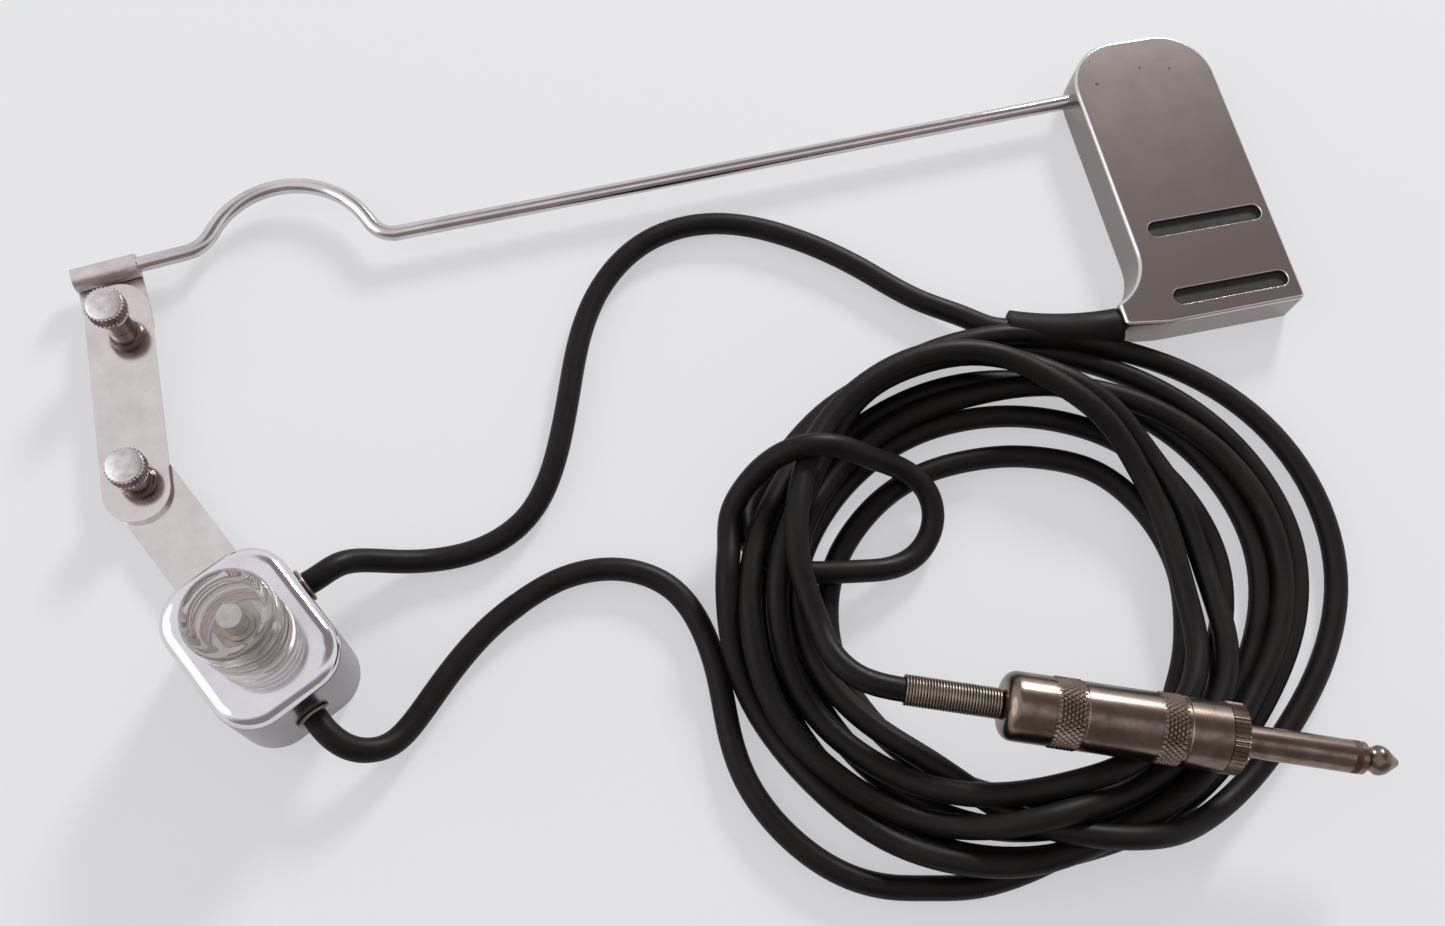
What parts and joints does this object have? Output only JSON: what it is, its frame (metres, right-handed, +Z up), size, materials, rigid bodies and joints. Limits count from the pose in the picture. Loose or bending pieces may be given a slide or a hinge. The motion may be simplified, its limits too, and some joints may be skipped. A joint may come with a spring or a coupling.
{
  "type": "clamp-on guitar pickup",
  "caption": "Flat magnetic pickup on a bent rod, with a two-screw clamp linkage, a chrome volume box with a clear knob, and a coiled lead ending in a phone plug.",
  "frame": {"origin": "middle of the control box's underside, on the surface that the whole part lies on", "axes": "+X along the rod's long straight part towards the pickup, +Y from the box towards the rod, +Z up, away from the surface"},
  "size_m": [0.2603, 0.1845, 0.0389],
  "materials": {
    "rod_steel": "polished plate, lightly worn",
    "socket_brass": "machined",
    "cover_nickel": "satin nickel plate with polished edges",
    "base_sheet": "plain sheet",
    "bobbin_plastic": "moulded",
    "enamelled_wire": "wound enamelled copper wire",
    "magnet_alloy": "cast magnet alloy",
    "fastener_steel": "plated and turned",
    "boot_rubber": "matt rubber",
    "link_nickel": "nickel plate, worn",
    "screw_nickel": "knurled and nickel plated",
    "box_chrome": "mirror chrome",
    "eyelet_brass": "aged nickel on brass",
    "can_steel": "stamped",
    "bushing_brass": "turned and threaded",
    "shaft_aluminium": "turned",
    "clear_acrylic": "clear turned acrylic",
    "cable_rubber": "black rubber jacket, slightly shiny",
    "plug_nickel": "aged nickel plate",
    "insulator_red": "maroon insulating ring"
  },
  "bodies": {
    "pickup": {"mounting_rod": "rod_steel", "rod_socket": "socket_brass", "pickup_cover": "cover_nickel", "pickup_base": "base_sheet", "pickup_bobbins": "bobbin_plastic", "pickup_windings": "enamelled_wire", "pickup_magnets": "magnet_alloy", "base_screws": "fastener_steel", "cable_boot": "boot_rubber", "pickup_lead": "cable_rubber", "output_lead": "cable_rubber", "cable_coil": "cable_rubber", "tie_loop": "cable_rubber", "plug_lead": "cable_rubber", "plug_spring": "plug_nickel", "plug_barrel": "plug_nickel", "plug_collar": "plug_nickel", "plug_sleeve": "plug_nickel", "plug_insulator": "insulator_red", "plug_tip": "plug_nickel"},
    "clamp": {"rod_clamp": "link_nickel", "upper_nut": "fastener_steel"},
    "link": {"clamp_plate": "link_nickel"},
    "upper_screw": {"upper_thumbscrew": "screw_nickel"},
    "lower_screw": {"lower_thumbscrew": "screw_nickel"},
    "arm": {"control_arm": "link_nickel", "lower_nut": "fastener_steel", "arm_rivets": "fastener_steel", "control_housing": "box_chrome", "control_base": "base_sheet", "lead_eyelets": "eyelet_brass", "pot_can": "can_steel", "pot_bushing": "bushing_brass", "pot_nut": "fastener_steel"},
    "knob": {"pot_shaft": "shaft_aluminium", "control_knob": "clear_acrylic"}
  },
  "joints": [
    {"name": "clamp_slide", "type": "slide", "parent": "pickup", "child": "clamp", "axis": [0.9976, 0.0698, 0], "range_m": [-0.006, 0.008], "deforming": ["pickup_lead", "output_lead"]},
    {"name": "link_swing", "type": "hinge", "parent": "clamp", "child": "link", "pos_m": [-0.01867, 0.07688, 0.0032], "axis": [0, 0, 1], "range_deg": [-60, 30], "deforming": ["pickup_lead", "output_lead"]},
    {"name": "arm_swing", "type": "hinge", "parent": "link", "child": "arm", "pos_m": [-0.01986, 0.0426, 0.0032], "axis": [0, 0, 1], "range_deg": [-60, 50], "deforming": ["pickup_lead", "output_lead"]},
    {"name": "upper_screw_turn", "type": "hinge", "parent": "link", "child": "upper_screw", "pos_m": [-0.01867, 0.07688, 0.0046], "axis": [0, 0, 1], "range_deg": [0, 360]},
    {"name": "lower_screw_turn", "type": "hinge", "parent": "link", "child": "lower_screw", "pos_m": [-0.01986, 0.0426, 0.0046], "axis": [0, 0, 1], "range_deg": [0, 360]},
    {"name": "knob_turn", "type": "hinge", "parent": "arm", "child": "knob", "pos_m": [0, 0, 0.0236], "axis": [0, 0, 1], "range_deg": [-150, 150]}
  ]
}
